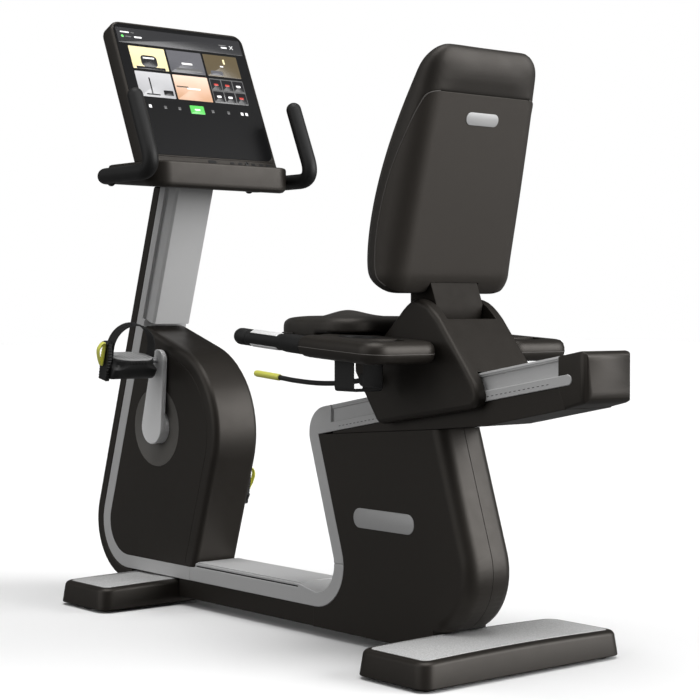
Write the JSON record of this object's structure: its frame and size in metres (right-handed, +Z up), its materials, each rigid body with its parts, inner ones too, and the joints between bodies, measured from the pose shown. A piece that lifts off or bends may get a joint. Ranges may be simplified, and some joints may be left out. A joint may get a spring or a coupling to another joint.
{
  "type": "recumbent exercise bike",
  "caption": "Recumbent exercise bike: silver frame and rail, sliding bucket-style seat with backrest, side grips, cranks with strapped pedals, and a console screen with its own handlebars.",
  "frame": {"origin": "on the floor, on the middle plane, midway along the length", "axes": "+X towards the seat end, +Y to the right of a rider facing the console, +Z up"},
  "size_m": [1.7349, 0.568, 1.4388],
  "materials": {
    "silver_paint": "satin silver-grey powder coat",
    "dark_plastic": "fine-textured warm charcoal plastic",
    "black_plastic": "black moulded plastic",
    "rubber": "black rubber",
    "upholstery": "charcoal vinyl with a fine grain",
    "screen_glass": "glossy black screen cover",
    "cast_silver": "silver cast metal",
    "steel": "plain steel",
    "yellow_plastic": "yellow-green moulded plastic"
  },
  "bodies": {
    "frame": {"front_frame": "silver_paint", "column_front_cover": "dark_plastic", "base_rail": "silver_paint", "base_cover": "dark_plastic", "seat_post": "silver_paint", "seat_rail": "silver_paint", "rail_under_cover": "dark_plastic", "rail_end_cap": "dark_plastic", "front_foot": "dark_plastic", "front_foot_pad_left": "rubber", "front_foot_pad_right": "rubber", "rear_foot": "dark_plastic", "rear_foot_pad_left": "rubber", "rear_foot_pad_right": "rubber", "front_shroud_wrap": "dark_plastic", "front_shroud_panel_left": "dark_plastic", "front_shroud_panel_right": "dark_plastic", "rear_shroud_left": "dark_plastic", "rear_shroud_right": "dark_plastic", "drive_bracket": "steel", "drive_belt": "rubber", "crank_bearing_left": "steel", "crank_bearing_right": "steel", "console_tray": "dark_plastic", "display_housing": "dark_plastic", "display_glass": "screen_glass", "handlebar_left": "rubber", "handlebar_right": "rubber"},
    "crank": {"crank_axle": "steel", "drive_pulley": "black_plastic", "crank_arm_left": "cast_silver", "crank_arm_right": "cast_silver", "crank_disc_left": "dark_plastic", "crank_disc_right": "dark_plastic", "pedal_spindle_left": "steel", "pedal_spindle_right": "steel"},
    "pedal_left": {"pedal_left": "black_plastic", "pedal_strap_left": "rubber"},
    "pedal_right": {"pedal_right": "black_plastic", "pedal_strap_right": "rubber"},
    "buckle_left": {"strap_buckle_left": "yellow_plastic"},
    "buckle_right": {"strap_buckle_right": "yellow_plastic"},
    "flywheel": {"flywheel": "steel"},
    "seat": {"carriage_shell": "dark_plastic", "back_post": "dark_plastic", "back_shell": "dark_plastic", "back_cushion": "upholstery", "seat_pan": "black_plastic", "seat_cushion": "upholstery", "armrest_left": "dark_plastic", "armrest_right": "dark_plastic", "hand_grip_left": "rubber", "hand_grip_right": "rubber", "pulse_plate_left": "cast_silver", "pulse_plate_right": "cast_silver", "bottle_bracket_left": "black_plastic", "bottle_bracket_right": "black_plastic"},
    "lever": {"seat_lever": "black_plastic", "lever_grip": "yellow_plastic"},
    "lock_pin": {"lock_pin": "steel"}
  },
  "joints": [
    {"name": "crank_spin", "type": "hinge", "parent": "frame", "child": "crank", "pos_m": [-0.5855, 0, 0.437], "axis": [0, 1, 0], "continuous": true},
    {"name": "flywheel_spin", "type": "hinge", "parent": "frame", "child": "flywheel", "pos_m": [-0.6, 0, 0.225], "axis": [0, 1, 0], "continuous": true},
    {"name": "pedal_left_spin", "type": "hinge", "parent": "crank", "child": "pedal_left", "pos_m": [-0.55715, -0.15, 0.60462], "axis": [0, 1, 0], "continuous": true},
    {"name": "pedal_right_spin", "type": "hinge", "parent": "crank", "child": "pedal_right", "pos_m": [-0.61385, 0.15, 0.26938], "axis": [0, 1, 0], "continuous": true},
    {"name": "buckle_left_lift", "type": "hinge", "parent": "pedal_left", "child": "buckle_left", "pos_m": [-0.54759, -0.238, 0.64961], "axis": [-0.9781, 0, 0.2079], "range_deg": [0, 60]},
    {"name": "buckle_right_lift", "type": "hinge", "parent": "pedal_right", "child": "buckle_right", "pos_m": [-0.60429, 0.238, 0.31437], "axis": [0.9781, 0, -0.2079], "range_deg": [0, 60]},
    {"name": "seat_travel", "type": "slide", "parent": "frame", "child": "seat", "axis": [0.9848, 0, 0.1736], "range_m": [-0.09, 0.17]},
    {"name": "lever_lift", "type": "hinge", "parent": "seat", "child": "lever", "pos_m": [0.296, -0.125, 0.583], "axis": [0, 1, 0], "range_deg": [0, 12], "stiffness_Nm_per_rad": 6, "springref_deg": -8.59},
    {"name": "pin_lift", "type": "slide", "parent": "seat", "child": "lock_pin", "axis": [-0.1736, 0, 0.9848], "range_m": [0, 0.008]}
  ],
  "couplings": [
    {"joint": "flywheel_spin", "follows": "crank_spin", "ratio": 3.5},
    {"joint": "pin_lift", "follows": "lever_lift", "m_per_rad": 0.036}
  ]
}
